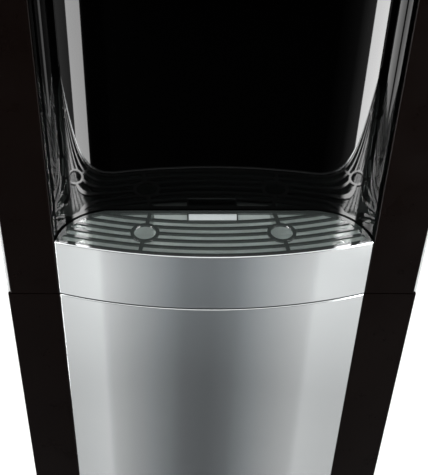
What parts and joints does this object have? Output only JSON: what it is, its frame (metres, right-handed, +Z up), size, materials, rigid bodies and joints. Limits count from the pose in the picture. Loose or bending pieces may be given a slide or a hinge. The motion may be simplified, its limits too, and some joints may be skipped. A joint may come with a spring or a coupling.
{
  "type": "drinks dispenser",
  "caption": "Floor-standing drinks dispenser with a bowed silver front, a glossy black cup bay, a lift-out drip tray with an arched grille, push buttons and a hinged lower door.",
  "frame": {"origin": "on the floor, at the middle of the footprint's bounding box", "axes": "+Z up, +X to the right as seen from the front, front towards -Y"},
  "size_m": [0.324, 0.37, 1.05],
  "materials": {
    "black_casing": "satin black moulding",
    "black_alcove": "mirror-gloss black moulding",
    "silver_front": "silver metallic paint, satin",
    "side_steel": "light grey powder coat, fine texture",
    "grille_grey": "dark grey gloss moulding",
    "basin_grey": "grey-green moulding",
    "pale_insert": "pale satin moulding",
    "grey_plastic": "mid grey moulding",
    "white_plastic": "white liner moulding",
    "button_silver": "silver satin caps",
    "lens": "clear light pipes",
    "galvanised": "galvanised sheet",
    "stainless": "stainless steel",
    "copper": "copper tube",
    "black_enamel": "black enamel",
    "foam": "expanded polystyrene",
    "rubber": "black rubber",
    "circuit_green": "circuit board",
    "black_plastic": "black moulding",
    "tubing": "polyethylene tube",
    "nylon": "nylon",
    "brass": "brass fitting"
  },
  "bodies": {
    "cabinet": {"base_tray": "galvanised", "rubber_feet": "rubber", "plinth": "black_casing", "side_panel_left": "side_steel", "side_panel_right": "side_steel", "rear_panel": "galvanised", "rear_panel_screws": "stainless", "top_cover": "black_casing", "upper_casing": "black_casing", "alcove_liner": "black_alcove", "alcove_lamp": "lens", "fascia_panel": "silver_front", "control_board": "circuit_green", "indicator_lenses": "lens", "nozzles": "grey_plastic", "solenoid_valves": "black_plastic", "hinge_brackets": "galvanised", "hinge_pins": "stainless", "cabinet_liner": "white_plastic", "magnetic_catch": "black_plastic", "equipment_shelf": "galvanised", "gas_regulator": "brass", "cold_tank": "stainless", "evaporator_coil": "copper", "foam_front": "foam", "foam_rear": "foam", "tank_supports": "foam", "carbonator": "stainless", "pump_motor": "black_enamel", "pump_head": "brass", "water_lines": "tubing", "gas_line": "tubing", "compressor": "black_enamel", "compressor_grommets": "rubber", "condenser_tube": "black_enamel", "condenser_wires": "black_enamel", "condenser_brackets": "black_plastic", "refrigerant_lines": "copper", "filter_drier": "copper", "power_inlet": "black_plastic", "switch_housings": "black_plastic", "thermostat": "grey_plastic", "water_inlet": "nylon", "power_board": "circuit_green"},
    "door": {"door_frame": "black_casing", "door_front_panel": "silver_front", "door_inner_panel": "white_plastic", "door_strike": "galvanised", "hinge_bushes": "nylon"},
    "tray": {"tray_front": "silver_front", "drip_basin": "basin_grey"},
    "grille": {"tray_grille": "grille_grey", "grille_tab": "pale_insert"},
    "left_button": {"button_left": "button_silver"},
    "centre_button": {"button_centre": "button_silver"},
    "right_button": {"button_right": "button_silver"},
    "main_rocker": {"switch_main": "black_plastic"},
    "cooling_rocker": {"switch_cooling": "black_plastic"},
    "thermostat_dial": {"thermostat_knob": "black_plastic"},
    "regulator_dial": {"regulator_knob": "black_plastic"}
  },
  "joints": [
    {"name": "door_hinge", "type": "hinge", "parent": "cabinet", "child": "door", "pos_m": [0.152, -0.15, 0.355], "axis": [0, 0, 1], "range_deg": [0, 105]},
    {"name": "tray_slide", "type": "slide", "parent": "cabinet", "child": "tray", "axis": [0, -1, 0], "range_m": [0, 0.075]},
    {"name": "grille_lift", "type": "slide", "parent": "tray", "child": "grille", "axis": [0, 0, 1], "range_m": [0, 0.06]},
    {"name": "left_press", "type": "slide", "parent": "cabinet", "child": "left_button", "axis": [0, 1, 0], "range_m": [0, 0.002], "stiffness_N_per_m": 800},
    {"name": "centre_press", "type": "slide", "parent": "cabinet", "child": "centre_button", "axis": [0, 1, 0], "range_m": [0, 0.002], "stiffness_N_per_m": 800},
    {"name": "right_press", "type": "slide", "parent": "cabinet", "child": "right_button", "axis": [0, 1, 0], "range_m": [0, 0.002], "stiffness_N_per_m": 800},
    {"name": "main_switch", "type": "hinge", "parent": "cabinet", "child": "main_rocker", "pos_m": [0.11, 0.1505, 0.14], "axis": [1, 0, 0], "range_deg": [0, 20]},
    {"name": "cooling_switch", "type": "hinge", "parent": "cabinet", "child": "cooling_rocker", "pos_m": [0.11, 0.1505, 0.172], "axis": [1, 0, 0], "range_deg": [0, 20]},
    {"name": "thermostat_turn", "type": "hinge", "parent": "cabinet", "child": "thermostat_dial", "pos_m": [0.11, 0.155, 0.208], "axis": [0, 1, 0], "range_deg": [0, 270]},
    {"name": "regulator_turn", "type": "hinge", "parent": "cabinet", "child": "regulator_dial", "pos_m": [-0.12, -0.06, 0.507], "axis": [0, 0, 1], "range_deg": [0, 1080]}
  ]
}
